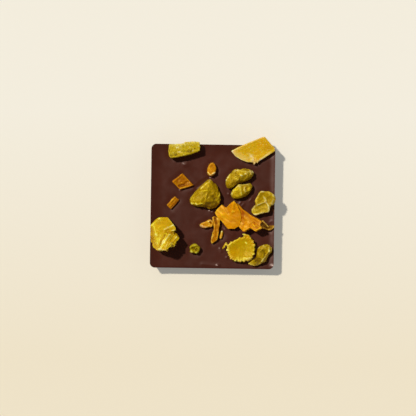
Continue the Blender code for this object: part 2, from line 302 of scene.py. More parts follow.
def driedFruit(name, look):
    # deep and darker in its hollows, as painted shade, pale on its crests and palest on the highest
    # crests and brightest strokes, as painted highlight, and a little see-through
    look = {**plainFlesh, **look}
    material, nodes, links = newMaterial(name)
    shader = nodes["Principled BSDF"]
    crest = nodes.new("ShaderNodeAttribute")
    crest.attribute_name = "crest"
    body = rampNode(crest.outputs["Fac"],
                    [(flesh["hollowTo"], linear(*look["shadedHollow"])),
                     (flesh["bodyFrom"], linear(*look["body"])),
                     (flesh["bodyTo"], linear(*look["body"])),
                     (flesh["crestAt"], linear(*look["crest"])), (1.0, linear(*look["paintedHighlight"]))])
    patches = noiseNode(nodes, links, look["patchScale"], Detail=3.0)
    patchAmount = rampNode(patches.outputs["Fac"],
                           [(flesh["patchFrom"], grey(0)),
                            (flesh["patchTo"], grey(flesh["patchMost"]))])
    tinted = mixNode("MIX", patchAmount, body, linear(*look["patch"]))
    specks = noiseNode(nodes, links, look["speckScale"], Detail=2.0)
    speckAmount = rampNode(specks.outputs["Fac"],
                           [(look["speckFrom"], grey(0)),
                            (look["speckFrom"] + flesh["speckEdge"], grey(flesh["speckMost"]))])
    speckled = mixNode("MIX", speckAmount, tinted, linear(*look["speck"]))
    fibres = noiseNode(nodes, links, look["fibreScale"],
                         stretch=(look["fibreStretch"], 1, 1), turn=-look["heading"], Detail=4.0)
    shade = rampNode(fibres.outputs["Fac"],
                     [(swing["low"], grey(flesh["fibreDark"])),
                      (swing["high"], grey(flesh["fibreLight"]))])
    links.new(mixNode("MULTIPLY", look["contrast"], speckled, shade),
              shader.inputs["Base Color"])
    roughen(nodes, links, shader, fibres.outputs["Fac"],
            (look["roughness"] + flesh["duller"], look["roughness"] - flesh["shinier"]),
            look["bump"])
    shader.inputs["Subsurface Weight"].default_value = look["depth"]
    shader.inputs["Subsurface Radius"].default_value = flesh["glowRadius"]
    shader.inputs["Subsurface Scale"].default_value = flesh["glowDepth"] * mm
    shader.inputs["Specular IOR Level"].default_value = flesh["specular"]
    shader.inputs["Specular Tint"].default_value = flesh["specularTint"]
    return material


# Golden raisins

raisinColours = {
    "shadedHollow": (108, 73, 0), "body": (180, 142, 0), "crest": (228, 199, 58),
    "paintedHighlight": (244, 225, 144), "patch": (162, 126, 0), "patchScale": 0.35,
    "speck": (118, 82, 2), "speckScale": 2.2, "speckFrom": 0.7, "fibreStretch": 0.5,
    "heading": 40, "roughness": 0.44, "depth": 0.25, "contrast": 0.75,
}
raisinSkin = {"skin": "goldenRaisin", "grain": 0.13, "easing": 6, "relief": 0.36}
# each raisin's paint strokes are painted highlights on its crests and rims, and painted shade on its
# shaded underside and in its dents
raisins = {
    "raisin_large": {
        "skin": "ripeRaisin", "heading": 60, "foldLength": 4.4, "foldWidth": 3.0, "foldHeight": 0.3,
        "wrinkleHeight": 0.16, "seed": 1.3, "notches": [(-0.8, 8.4, -0.7, 8.5, 0.9, 0.15)],
        "marks": [(-3.8, 5.9, -2.4, 7.4, 0.7, 0.3), (-4.3, 4.6, -2, 5.1, 0.7, 0.3),
                  (-2.4, 1.8, -2, 4, 0.6, 0.3), (-7, 0.9, -5.1, 0.5, 0.6, 0.25),
                  (-5.1, 0.5, -3.1, 1.1, 0.6, 0.25), (2.1, 4, 1.9, 1.3, 0.6, 0.3),
                  (-1.6, 0.8, 0.9, 1.2, 1.0, -0.35), (-5.2, 2.6, -4.6, 3.0, 1.3, -0.3),
                  (-0.4, 4, 0.3, 2.6, 1.3, -0.3)],
        "paintedLightAndTone": [(-7.4, 2.7, -4.3, 4.9, 0.9, 0.25), (-3.9, 5.7, -1, 8.3, 0.8, 0.35),
                  (-7, 1, -3.2, 0.8, 0.7, 0.3), (2, 4, 1.6, 0.9, 0.6, 0.25),
                  (-1.8, 0.7, 0.9, 0.9, 1.3, -0.6), (0.2, 4.2, 0.8, 2.4, 1.6, -0.25),
                  (-3.4, 0.1, 1, 0, 1.1, -0.4)],
    },
    "raisin_upper": {
        "heading": 38, "foldLength": 2.6, "foldWidth": 1.8, "foldHeight": 0.22,
        "wrinkleHeight": 0.2, "seed": 4.1,
        "marks": [(6.6, 11.7, 10, 12.1, 0.6, 0.3), (9, 10.1, 10.5, 10.7, 0.6, 0.3),
                  (12, 11.3, 12.1, 10.6, 0.6, 0.3), (4.2, 8.4, 5.3, 10.1, 0.6, 0.3),
                  (6.6, 7.4, 9.3, 8.3, 0.8, -0.35), (7.6, 10.6, 8.4, 9.4, 0.8, -0.3)],
        "notches": [(9, 12.9, 12.4, 12.5, 1.4, -0.4), (8.7, 12.3, 8.8, 12.3, 0.6, -0.15),
                    (5.4, 11.4, 5.6, 11.2, 0.7, -0.2)],
        "paintedLightAndTone": [(6.6, 11.7, 12, 11.4, 0.8, 0.3), (4.1, 8.3, 5.3, 10.1, 0.7, 0.3),
                  (9, 10.1, 9.1, 10.1, 0.7, 0.4), (10.4, 10.6, 10.5, 10.6, 0.6, 0.4),
                  (11.9, 11.8, 12.7, 11.2, 0.7, 0.5), (4.8, 6.6, 8.6, 7.8, 1.0, -0.5)],
    },
    "raisin_middle": {
        "skin": "ripeRaisin", "heading": 30, "foldLength": 3.4, "foldWidth": 2.4, "foldHeight": 0.24,
        "wrinkleHeight": 0.08, "seed": 7.7,
        "marks": [(5.7, 5.6, 8.3, 6.8, 0.6, 0.3), (8.3, 6.8, 11.4, 7.4, 0.6, 0.3),
                  (8.8, 6.6, 9.2, 3.8, 0.8, 0.25), (10.2, 6.3, 10.3, 5.2, 0.6, 0.2),
                  (7.4, 5.4, 7.7, 4.2, 1.0, -0.25), (10.9, 5.9, 11.2, 4.9, 0.8, -0.25)],
        "notches": [(5.9, 5.2, 8.4, 6.8, 1.4, 0.6), (5.6, 4.4, 5.7, 4.2, 1.0, 0.2)],
        "paintedLightAndTone": [(5.7, 5.6, 8.3, 6.8, 0.6, 0.4), (8.3, 6.8, 11.4, 7.4, 0.6, 0.4),
                  (10.2, 6.4, 10.3, 5.2, 0.7, 0.4), (6.5, 5, 11.5, 6, 3.5, 0.16),
                  (6, 3.6, 6.2, 4.4, 0.6, 0.4)],
    },
    "raisin_right": {
        "heading": 55, "foldLength": 3.8, "foldWidth": 2.8, "foldHeight": 0.22,
        "wrinkleHeight": 0.08, "seed": 2.6,
        "marks": [(13.6, 2.7, 14.6, 4.3, 0.7, 0.25), (14.6, 4.3, 16, 5, 0.8, 0.15),
                  (16, 5, 19.2, 3.9, 0.8, 0.15), (19.6, 3.6, 18.9, 0.9, 0.8, 0.25),
                  (13.5, 0.4, 17, 1.8, 0.8, 0.45), (17, 1.8, 18.3, 0.3, 0.7, 0.35),
                  (18.1, 0.3, 17.9, -1.4, 0.7, 0.25), (13.4, -2.5, 16, -1.8, 0.6, 0.2),
                  (16, -1.8, 18, -1.4, 0.6, 0.2), (12.6, -0.9, 13.6, 0.2, 0.6, 0.2),
                  (15, 3.4, 17.8, 2.9, 1.8, -0.2), (14.2, -1, 16.8, 0.2, 1.2, 0.15),
                  (16.2, 3.6, 17.6, 2, 0.6, 0.2)],
        "notches": [(13, 1.1, 13.7, 0.7, 0.9, -0.4), (18.9, 0.4, 18.6, 0.2, 0.8, -0.3)],
        "paintedLightAndTone": [(13.6, 2.7, 14.4, 3.9, 0.6, 0.4), (15.4, 4.6, 18.8, 4.4, 0.5, -0.2),
                  (16.6, 2.9, 17.2, 1.6, 0.9, 0.5), (19.7, 2.6, 18.9, 0.9, 0.6, 0.25),
                  (12.6, -0.9, 13.4, 0.1, 0.6, 0.4), (13.4, -2.4, 16.4, -1.8, 0.5, 0.3),
                  (17.7, 1, 18, -0.4, 0.6, 0.4), (13.8, 0.4, 15, 0.9, 0.5, 0.2),
                  (14, -1, 18, 3, 4, 0.16)],
    },
    "raisin_corner": {
        "heading": 60, "foldLength": 3.4, "foldWidth": 2.2, "foldHeight": 0.26,
        "wrinkleHeight": 0.1, "seed": 9.2,
        "marks": [(13.9, -14.4, 15.3, -12.8, 0.5, 0.3), (15.3, -12.8, 16.6, -12.4, 0.5, 0.3),
                  (18.3, -12.9, 18.4, -14.1, 0.5, 0.35), (18.4, -14.1, 15.3, -18.2, 0.5, 0.3),
                  (14.7, -14.8, 15.2, -15.6, 0.7, 0.2), (13.4, -16.2, 15.6, -17, 0.8, -0.35),
                  (16.7, -14.1, 17.1, -15, 0.8, -0.3)],
        "paintedLightAndTone": [(13.9, -14.4, 15.3, -12.8, 0.6, 0.4), (16.6, -12.5, 18.4, -14, 0.9, 0.4),
                  (14.8, -14.7, 15.3, -15, 0.8, 0.35), (12.9, -16.6, 15.4, -17.2, 1.0, -0.6),
                  (11.9, -18.2, 13.4, -18.6, 0.6, 0.3), (17.6, -15.6, 15.5, -18, 0.5, 0.4),
                  (15.9, -14, 14.4, -16, 1.4, -0.25), (14, -17, 17, -14, 4, -0.1)],
    },
}
driedFruit("goldenRaisin", raisinColours)
driedFruit("ripeRaisin", {**raisinColours, "crest": (232, 202, 32), "paintedHighlight": (246, 226, 120)})
for nodeName, raisin in raisins.items():
    look = {**raisinSkin, **raisin}
    piece = copyFruit(nodeName, nodeName + "_skin")
    dressFruit(piece, look, lambda place, normal: skinFolds(place, normal, look))
    finishPiece(piece, bpy.data.materials[look["skin"]], "golden_raisin", nodeName)
print("raisins wrinkled")


# Pieces cut with a knife: a circle's corners are moved to the outline, and it is drawn up

def cutBlock(name, block):
    piece = addFace(name, len(block["outline"]))
    for corner, (x, y) in zip(piece.data.vertices, block["outline"]):
        corner.co = (x * mm, y * mm, (pouredLevel + block["foot"]) * mm)
    editAll(piece)
    bpy.ops.mesh.extrude_region_move(
        TRANSFORM_OT_translate={"value": (0, 0, (block["top"] - block["foot"]) * mm)})
    bpy.ops.mesh.select_all(action="SELECT")
    bpy.ops.mesh.normals_make_consistent(inside=False)
    doneEditing()
    if "overEdge" in block:
        edge, lift = block["overEdge"]
        for corner in piece.data.vertices:
            if corner.co.y > edge * mm and corner.co.z < pouredLevel * mm:
                corner.co.z += lift * mm
    bevel = piece.modifiers.new("rounding", "BEVEL")
    bevel.width = block["rounding"] * mm
    bevel.segments = 3
    bevel.limit_method = "NONE"
    applyModifiers(piece)
    return piece


# The stick of candied peel, crusted with sugar

sugar = {
    "outline": [(-14.3, 19.8), (-11, 20), (-9.6, 20.1), (-9.2, 20.6), (-6.3, 20.8),
                (-4.5, 20.7), (-4.4, 20.3), (-4.4, 17.9), (-7, 16.8), (-11.6, 15.7),
                (-13.6, 15.4), (-14.2, 16), (-14.5, 17.4)],
    "foot": -0.4, "top": 3.8, "rounding": 0.8,
    "overEdge": (19, 0.9),  # past this y, its foot is raised by this much
    "grain": 0.11, "easing": 4, "relief": 0.36,
    "crystalSize": 0.36, "crystalHeight": 0.2, "lumpSize": 1.9, "lumpHeight": 0.14,
    "crystalGap": 1.6, "crystalLevel": 0.3, "coverSize": 1.3, "coverShift": (7, 0, 0),
    "coverLevel": 0.6, "coverContrast": 1.6, "coverLeast": 0.35,
    "marks": [(-14.3, 16.9, -9.4, 17.4, 0.7, -0.12), (-9.4, 17.4, -4.6, 18.7, 0.6, -0.1),
              (-12.8, 19.2, -6, 20.2, 0.9, 0.1), (-9.9, 20.2, -9.5, 18.9, 0.6, -0.12)],
    # the paint strokes make its far side, towards the light, lighter and its near side darker, as
    # painted light and painted shade; the small bright dabs are painted highlights and the small dark
    # ones painted shade in its pits
    "paintedLightAndTone": [(-14, 19.4, -5, 20.4, 1.2, 0.2), (-14, 16.4, -5, 17.9, 1.1, -0.28),
              (-13.7, 16.3, -13.4, 16.2, 0.5, -0.5), (-12.2, 16.4, -12, 16.5, 0.4, -0.6),
              (-9.4, 17.2, -9, 17.3, 0.5, -0.6), (-7.5, 17.5, -7.4, 17.5, 0.3, -0.2),
              (-6.1, 18.6, -5.9, 18.7, 0.3, -0.3), (-14.2, 18.1, -14.2, 17.6, 0.4, -0.5),
              (-11.5, 17.3, -10.7, 17.4, 0.6, 0.9), (-10.3, 17.2, -9.8, 17.2, 0.5, 0.9),
              (-11.8, 18.7, -11.3, 18.8, 0.6, 0.4), (-6.6, 18.4, -6.4, 18.4, 0.4, 0.5),
              (-7.8, 18.9, -7.2, 18.9, 0.6, 0.2), (-12, 18.9, -9, 19.2, 1.1, 0.15)],
    "colours": {
        "shadedHollow": (112, 82, 0), "body": (196, 163, 8), "crest": (234, 214, 100),
        "paintedHighlight": (250, 238, 190), "patch": (208, 180, 28), "speck": (240, 224, 150),
        "speckScale": 1.6, "speckFrom": 0.65, "fibreScale": 2.2, "heading": 8,
        "roughness": 0.55, "bump": 0.5, "depth": 0.2, "contrast": 0.6,
    },
}


def sugarCrust(place, normal):
    # round grains of sugar, thicker in places, on a lumpy stick
    near = noise.voronoi(place / sugar["crystalSize"])[0]
    cover = noise.noise(place / sugar["coverSize"] + Vector(sugar["coverShift"]))
    cover = min(1, max(0, sugar["coverLevel"] + sugar["coverContrast"] * cover))
    patch = sugar["coverLeast"] + (1 - sugar["coverLeast"]) * cover
    grain = (1 - min(1, near[0] * sugar["crystalGap"])) * patch
    lump = noise.noise(place / sugar["lumpSize"])
    return (sugar["crystalHeight"] * (grain - sugar["crystalLevel"])
            + sugar["lumpHeight"] * lump
            + max(0.0, normal.z) * pressMarks(place, sugar["marks"]))


stick = cutBlock("sugared_stick_crust", sugar)
dressFruit(stick, sugar, sugarCrust)
finishPiece(stick, driedFruit("sugaredCitrus", sugar["colours"]), "sugared_citrus",
            "sugared_stick")
print("stick sugared")


# Mango, leathery with fine fibres

paleMango = {
    "outline": [(5.7, 18, 1.1), (11, 20.6, 1.4), (16.4, 22.8, 1.8), (18.9, 20, 1.6),
                (19.8, 19.1, 1.4), (19.9, 18.3, 1.3), (18, 16.9, 1.2), (16, 15.6, 1.0),
                (14.7, 14.9, 0.9), (14.2, 14.2, 0.9), (13.8, 14.6, 0.9), (13.3, 13.6, 0.9),
                (12.8, 14.4, 1), (10.9, 14.4, 1.2), (8.9, 15.1, 1.1), (7.2, 16.2, 1)],
    "middle": (12.6, 18, 0.8), "thickness": 1.3,
    "grain": 0.13, "easing": 2, "relief": 0.4,
    "heading": 28, "fibreWidth": 0.7, "fibreHeight": 0.05, "waveSize": 3.2, "waveHeight": 0.1,
    "marks": [(12.6, 15.2, 14.2, 14.9, 0.9, 0.2), (13.3, 14.2, 13.3, 14.1, 0.5, 0.3),
              (12.9, 16, 13.1, 14.8, 0.3, 0.15), (13.6, 15.8, 13.7, 14.9, 0.3, 0.15)],
    # the bright line along its lower right rim is a painted highlight; the other strokes make it
    # paler at its lower left and its tip and darker at its upper right
    "paintedLightAndTone": [(12.6, 16.2, 13.2, 14.4, 1.7, 0.45), (13.3, 14.1, 13.3, 14, 0.8, 0.5),
              (6.4, 17.8, 10.5, 15.4, 2.8, 0.25), (12.3, 16.4, 11.4, 17.4, 0.6, 0.2),
              (15.4, 20.4, 18.6, 19.1, 2.5, -0.25), (19.6, 18.9, 14.2, 14.7, 0.5, 0.4)],
    "colours": {
        "shadedHollow": (196, 130, 0), "body": (219, 173, 14), "crest": (236, 212, 124),
        "paintedHighlight": (244, 228, 186), "patch": (225, 167, 6), "patchScale": 0.16,
        "speck": (236, 206, 100), "speckScale": 2.6, "speckFrom": 0.6, "fibreScale": 2.2,
        "fibreStretch": 0.7, "heading": 28, "roughness": 0.5, "contrast": 0.4,
    },
}
foldedMango = {
    "grain": 0.12, "easing": 3, "relief": 0.3,
    "heading": -35, "fibreWidth": 0.8, "fibreHeight": 0.1, "waveSize": 2.2, "waveHeight": 0.15,
    "marks": [(6.9, 2.1, 6.4, -1.2, 0.9, 0.3), (7.5, 1.4, 8.2, -1.2, 0.8, 0.25),
              (7.1, 0.4, 7.4, -0.6, 0.5, -0.08), (6.3, -1.7, 7.1, -1.5, 0.6, 0.12),
              (4.4, -0.2, 5.2, -1.8, 0.9, -0.25), (13, -5.5, 13.7, -6.3, 0.5, 0.35),
              (10.3, -3.3, 11.6, -5.6, 1.4, 0.25), (13.6, -7.6, 15.7, -6.6, 0.4, 0.25),
              (10.2, -7.4, 10.5, -6, 0.7, 0.3), (12.2, -6, 13.3, -5.2, 0.7, -0.3),
              (14.2, -5.8, 15, -6.4, 0.6, 0.25)],
    # painted highlights on the fold by the peak, on the lumps and along the lower rim; painted shade
    # along the right leaf where the left leaf's edge lies over it, and in the dip left of the peak;
    # the left lobe is made yellower, its own colour, and the right leaf a little darker
    "paintedLightAndTone": [(6.9, 2, 7, -0.4, 0.7, 0.25), (6.3, -1.6, 6.9, -1.4, 0.7, 0.75),
              (8, 1.2, 9.3, -0.8, 1.0, -0.25), (9.7, -0.8, 9.9, -5.6, 0.9, -0.3),
              (5.8, -0.6, 5.6, -1.8, 0.9, -0.2), (13, -5.6, 13.6, -6.2, 0.5, 0.4),
              (10, -6.4, 10.6, -7.4, 1.0, 0.2), (1.8, -1.2, 4.2, -3.8, 2.2, 0.4),
              (13.8, -7.3, 15.4, -6.7, 0.6, 0.3), (11, -2.6, 15, -5.6, 3.4, -0.16)],
    "colours": {
        "shadedHollow": (172, 84, 0), "body": (210, 134, 0), "crest": (240, 174, 6),
        "paintedHighlight": (248, 190, 36), "patch": (232, 154, 0), "patchScale": 0.3,
        "speck": (196, 104, 0), "speckFrom": 0.64, "fibreScale": 1.2, "fibreStretch": 0.35,
        "heading": -35, "roughness": 0.42, "contrast": 0.55,
    },
}
cornerCrease = 0.85
leaves = {  # (x, y, height over the chocolate)
    "mango_left_leaf": {
        "outline": [(3, 0.7, 0.9), (4.3, -0.4, 1.3), (6.9, 2.1, 3), (8, 0.6, 2.7),
                    (8.9, -1.4, 2.35), (9.2, -2.7, 2.25), (9.2, -4.4, 2.1), (8.7, -6.2, 1.9),
                    (7.2, -7.1, 1.6), (5.1, -7.2, 1.2), (3.5, -5.1, 0.8), (1.8, -3.4, 0.5),
                    (0.9, -2, 0.4), (1.4, -1, 0.5)],
        "middle": (5.7, -2.8, 1.7), "thickness": 1.0,
    },
    "mango_right_leaf": {
        "outline": [(7.8, 1.3, 2), (9.8, -0.7, 2.4), (12.7, -2.7, 3.1), (15.9, -4.6, 4),
                    (15.4, -5.7, 4.1), (16, -6.7, 4.6), (13.9, -7.9, 4.2), (12.3, -6.7, 3.4),
                    (10.2, -8.1, 2.9), (9, -7, 1.9), (7.6, -4.5, 1.1), (7, -1.5, 1.1)],
        "middle": (11.3, -4.4, 2.2), "thickness": 1.0,
    },
}
tail = {
    "outline": [(15, -4.2, 3.5), (16.4, -4.4, 2.9), (17.9, -6, 1.7), (18.6, -6.5, 1.1),
                (20, -5.9, 0.9), (19.9, -6.5, 0.7), (18.6, -7.4, 0.8), (16.9, -7, 1.8),
                (15.2, -6, 3.5)],
    "middle": (17.2, -6, 1.9), "thickness": 0.6,
    "grain": 0.1, "easing": 2, "relief": 0.3,
    "marks": [(16.2, -4.5, 18, -6.3, 0.4, 0.3), (16.5, -6.6, 18.4, -7.2, 0.4, 0.25)],
    # painted highlights along its bright edges and its hook, and painted shade in its hollow
    "paintedLightAndTone": [(16.2, -4.5, 18, -6.3, 0.4, 0.5), (18.6, -7, 20, -6.2, 0.8, 0.5),
              (15.4, -5.2, 17.6, -6.4, 1.1, -0.28)],
    # the curl's colours are the mango leather darkened, as painted shade for its shaded inside
    "colours": {
        "shadedHollow": (84, 46, 0), "body": (146, 94, 2), "crest": (230, 170, 46),
        "paintedHighlight": (238, 190, 80), "patch": (124, 76, 2), "speck": (80, 46, 4),
        "speckFrom": 0.62, "fibreScale": 1.4, "fibreStretch": 0.35, "heading": -40,
        "roughness": 0.4, "bump": 0.35, "depth": 0.2, "contrast": 0.7,
    },
}
peel = {
    "outline": [(0, -3.5, 0.9), (0.6, -3.1, 0.8), (1.7, -3.5, 0.8), (2.5, -4.4, 0.9),
                (2.3, -6.7, 0.9), (2.1, -8.6, 0.9), (1.8, -10.3, 0.8), (1.2, -11.1, 0.7),
                (-0.2, -12, 0.6), (-0.4, -11.3, 0.6), (0, -9.3, 0.8), (0.5, -7, 0.9),
                (0.7, -5.2, 0.9), (0.2, -4.3, 0.9)],
    "middle": (1.4, -7.8, 1), "thickness": 1.1,
    "grain": 0.11, "easing": 3, "relief": 0.3,
    "heading": 80, "fibreWidth": 0.7, "fibreHeight": 0.14, "waveSize": 1.5, "waveHeight": 0.2,
    "marks": [(0.2, -9.4, -0.2, -11.3, 0.4, 0.25), (2.2, -5.4, 1.7, -10, 0.4, 0.15),
              (0.1, -3.6, 0.5, -4.4, 0.4, 0.3), (0.9, -4, 1.3, -5.6, 0.5, -0.25),
              (1.3, -6.4, 1.2, -9.6, 0.5, -0.15)],
    # painted highlights on its ends and its left edge, and painted shade in its groove
    "paintedLightAndTone": [(0.3, -9.2, -0.2, -11.4, 0.5, 0.5), (0, -3.6, 0.4, -4.4, 0.5, 0.5),
              (0.8, -3.6, 1.4, -5.6, 0.7, -0.4), (0.7, -5, 0.6, -7, 0.5, 0.25)],
    "colours": {
        "shadedHollow": (134, 66, 0), "body": (198, 127, 0), "crest": (240, 182, 40),
        "paintedHighlight": (246, 198, 72), "patch": (178, 104, 0), "speck": (140, 76, 0),
        "speckFrom": 0.62, "fibreStretch": 0.4, "heading": 80, "roughness": 0.4, "depth": 0.25,
        "contrast": 0.6,
    },
}


fibreLength = 4  # times its width


def leatherSkin(place, normal, look):
    along, across = turned(place, look["heading"])
    width = look["fibreWidth"]
    fibre = noise.noise(Vector((along / (width * fibreLength), across / width,
                                place.z / width)))
    wave = noise.noise(place / look["waveSize"])
    return (look["fibreHeight"] * fibre + look["waveHeight"] * wave
            + max(0.0, normal.z) * pressMarks(place, look["marks"]))


def cutLeaf(name, leaf):
    # the face is poked, so that its middle can be lifted apart from its edge
    piece = addFace(name, len(leaf["outline"]))
    editAll(piece)
    bpy.ops.mesh.poke()
    doneEditing()
    for corner, (x, y, z) in zip(piece.data.vertices, leaf["outline"] + [leaf["middle"]]):
        corner.co = (x * mm, y * mm, (pouredLevel + z) * mm)
    editAll(piece)
    bpy.ops.mesh.normals_make_consistent(inside=False)
    doneEditing()
    corners = piece.data.attributes.new("crease_vert", "FLOAT", "POINT")
    corners.data.foreach_set("value", [cornerCrease] * len(leaf["outline"]) + [0.0])
    soft = piece.modifiers.new("soft", "SUBSURF")
    soft.levels = soft.render_levels = 3
    wall = piece.modifiers.new("wall", "SOLIDIFY")
    wall.thickness = leaf["thickness"] * mm
    wall.offset = 0
    applyModifiers(piece)
    return piece


def layLeather(piece, look, material, slot, nodeName):
    dressFruit(piece, look, lambda place, normal: leatherSkin(place, normal, look))
    finishPiece(piece, material, slot, nodeName)


leafMaterial = driedFruit("mangoLeather", foldedMango["colours"])
for name, leaf in leaves.items():
    layLeather(cutLeaf(name, leaf), foldedMango, leafMaterial, "mango", "mango_fold")
tailPiece = cutLeaf("mango_tail_curl", tail)
dressFruit(tailPiece, tail, lambda place, normal: pressMarks(place, tail["marks"]))
finishPiece(tailPiece, driedFruit("darkMango", tail["colours"]), "mango", "mango_fold")
layLeather(cutLeaf("mango_slice_flesh", paleMango), paleMango,
           driedFruit("paleMangoFlesh", paleMango["colours"]), "pale_mango", "mango_slice")
layLeather(cutLeaf("peel_strip_skin", peel), peel,
           driedFruit("peelLeather", peel["colours"]), "mango", "peel_strip")
print("mango laid")


# The piece of pineapple, with fibres that fan out from under its lip

pineapple = {
    "outline": [(-19.6, -6.5, 0.6), (-18.7, -5.5, 0.5), (-17.8, -4.7, 0.5), (-16.9, -4.2, 0.6),
                (-15.7, -4.2, 0.8), (-14.2, -4.2, 1.2), (-13.5, -5, 2.3), (-12.4, -6.4, 3.8),
                (-11.6, -7.6, 5), (-12.1, -8.5, 5.2), (-11.4, -9.3, 4.9),
                (-10.5, -10.3, 4.8), (-11.1, -11.3, 5), (-11.7, -12, 5.4),
                (-12.1, -13.1, 5.9), (-12.9, -12.9, 6.6), (-13.8, -13.6, 6.9),
                (-14.6, -14.4, 7.25), (-16.4, -14.3, 5.2),
                (-17.5, -14.4, 3.3), (-18.8, -13, 1.2), (-19.2, -11.6, 0.6),
                (-19.5, -9, 0.5)],
    "middle": (-15.2, -7.6, 4.4), "thickness": 1.5,
    "grain": 0.12, "easing": 3, "relief": 0.45,
    "root": (-17.4, -16.5), "lip": 9.6, "lipWidth": 1.5,  # from the root
    "fibreCount": 15, "fibreLength": 6, "fibreHeight": 0.26, "swerve": 0.06, "swerveSize": 2,
    "waveSize": 1.6, "waveHeight": 0.16, "capWave": 0.3, "fraySize": 0.45, "fray": 0.3,
    "ringHeart": (-15.6, -9.4), "ringCrowd": 2, "ringHeight": 0.05,
    "highest": 12.72, "steepest": 0.3,  # the former is above the table
    "marks": [(-15.3, -7.6, -14.2, -7, 0.5, 0.35), (-14.2, -7, -12.2, -6, 0.6, 0.45),
              (-14.4, -7.9, -12, -7.2, 0.5, -0.4), (-12.9, -7.9, -12.4, -7.8, 0.4, 0.25),
              (-15, -8.4, -12.2, -8.9, 0.6, -0.35), (-18.8, -6.7, -18, -9.3, 0.8, 0.2),
              (-18, -9.3, -17.2, -13.9, 0.9, 0.25), (-17.6, -7.8, -16.6, -9.8, 0.6, 0.15),
              (-15.1, -9.3, -16.5, -11.5, 0.6, -0.3), (-16.5, -11.5, -16.9, -13.3, 0.4, -0.35),
              (-13.6, -9.2, -15.5, -11.5, 1.1, 0.35), (-15.5, -11.5, -16.4, -13.3, 0.8, 0.35),
              (-12.8, -9.6, -14.8, -13.2, 0.6, 0.25), (-13.2, -11, -12.8, -11.4, 0.5, -0.3),
              (-11.5, -10, -13.6, -12.4, 0.5, 0.25), (-12.4, -9.6, -13.9, -11.6, 0.4, -0.2)],
    "notches": [(-11.8, -8.5, -12.6, -8.4, 0.8, -0.5), (-11, -11.6, -11.2, -11.6, 0.6, -0.35),
                (-12.5, -12.9, -12.6, -12.6, 0.6, -0.4), (-13.6, -13.9, -13.6, -13.6, 0.5, -0.35),
                (-19.2, -12.2, -18.9, -12.2, 0.7, -0.25),
                (-15.4, -14.8, -15.4, -14.6, 0.4, -0.25)],
    # painted highlights on the lip, the rims and the raised fibres, and painted shade under the lip
    # and in the grooves between fibres; it is also darker along its left side, its upper edge and its
    # lower left corner
    "paintedLightAndTone": [(-15.3, -7.6, -12.2, -6, 0.6, 0.5), (-12.9, -7.9, -12.4, -7.8, 0.5, 0.4),
              (-14.4, -8.2, -12, -8.8, 0.7, -0.45), (-18.8, -6.7, -18, -9.3, 1.0, 0.25),
              (-18, -9.3, -17.2, -13.9, 1.1, 0.3), (-16.7, -9.4, -17, -11, 0.9, 0.35),
              (-15.1, -9.3, -16.5, -11.5, 0.5, -0.35), (-16.5, -11.5, -16.9, -13.3, 0.4, -0.4),
              (-13.6, -9.2, -15.5, -11.5, 1.0, 0.4), (-15.5, -11.5, -16.4, -13.6, 0.9, 0.4),
              (-12.6, -9.8, -14.9, -13.4, 0.7, 0.3), (-11.4, -10, -13.4, -12.4, 0.6, 0.25),
              (-19.8, -7.4, -19.4, -11.4, 1.1, -0.45), (-18.8, -12.6, -17.6, -13.4, 0.8, -0.2),
              (-17.2, -5.4, -14.2, -5.2, 1.8, -0.22), (-16.6, -14.2, -14.8, -14.2, 0.6, 0.6),
              (-19.6, -6.4, -17.2, -4.2, 0.5, 0.4), (-17.2, -4.2, -13.9, -4.3, 0.4, 0.4),
              (-13.9, -4.3, -12, -6.4, 0.4, 0.4)],
    "colours": {
        "shadedHollow": (164, 112, 0), "body": (199, 160, 0), "crest": (234, 214, 56),
        "paintedHighlight": (246, 236, 150), "patch": (206, 158, 0), "patchScale": 0.3,
        "speck": (236, 208, 70), "speckScale": 1.6, "speckFrom": 0.64, "fibreScale": 0.9,
        "fibreStretch": 0.25, "heading": -65, "roughness": 0.42, "bump": 0.35, "contrast": 0.4,
    },
}


def pineappleFibres(place, normal):
    # fibres run up from the root and end under the lip, past which the cap has faint rings
    rootX, rootY = pineapple["root"]
    reach = math.hypot(place.x - rootX, place.y - rootY)
    swerve = pineapple["swerve"] * noise.noise(place / pineapple["swerveSize"])
    turn = math.atan2(place.y - rootY, place.x - rootX) + swerve
    below = min(1, max(0, (pineapple["lip"] - reach) / pineapple["lipWidth"]))
    fibre = noise.noise(Vector((turn * pineapple["fibreCount"],
                                reach / pineapple["fibreLength"], 0)))
    fray = noise.noise(place / pineapple["fraySize"]) * below * (1 - abs(normal.z))
    wave = noise.noise(place / pineapple["waveSize"])
    spread = pineapple["capWave"] + (1 - pineapple["capWave"]) * below
    heartX, heartY = pineapple["ringHeart"]
    away = math.hypot(place.x - heartX, place.y - heartY)
    ring = noise.noise(Vector((away * pineapple["ringCrowd"], 0, 0)))
    howFar = (pineapple["fibreHeight"] * fibre * below * abs(normal.z)
              + pineapple["waveHeight"] * wave * spread
              + pineapple["fray"] * fray + pineapple["ringHeight"] * ring * (1 - below)
              + pressMarks(place, pineapple["notches"])
              + max(0.0, normal.z) * pressMarks(place, pineapple["marks"]))
    return min(howFar, (pineapple["highest"] - place.z) / max(pineapple["steepest"], normal.z))


pineapplePiece = cutLeaf("pineapple_piece_fibres", pineapple)
dressFruit(pineapplePiece, pineapple, pineappleFibres)
finishPiece(pineapplePiece, driedFruit("pineappleFlesh", pineapple["colours"]), "pineapple",
            "pineapple_piece")
print("pineapple laid")


# The disc of candied fruit, smooth inside its toothed rim

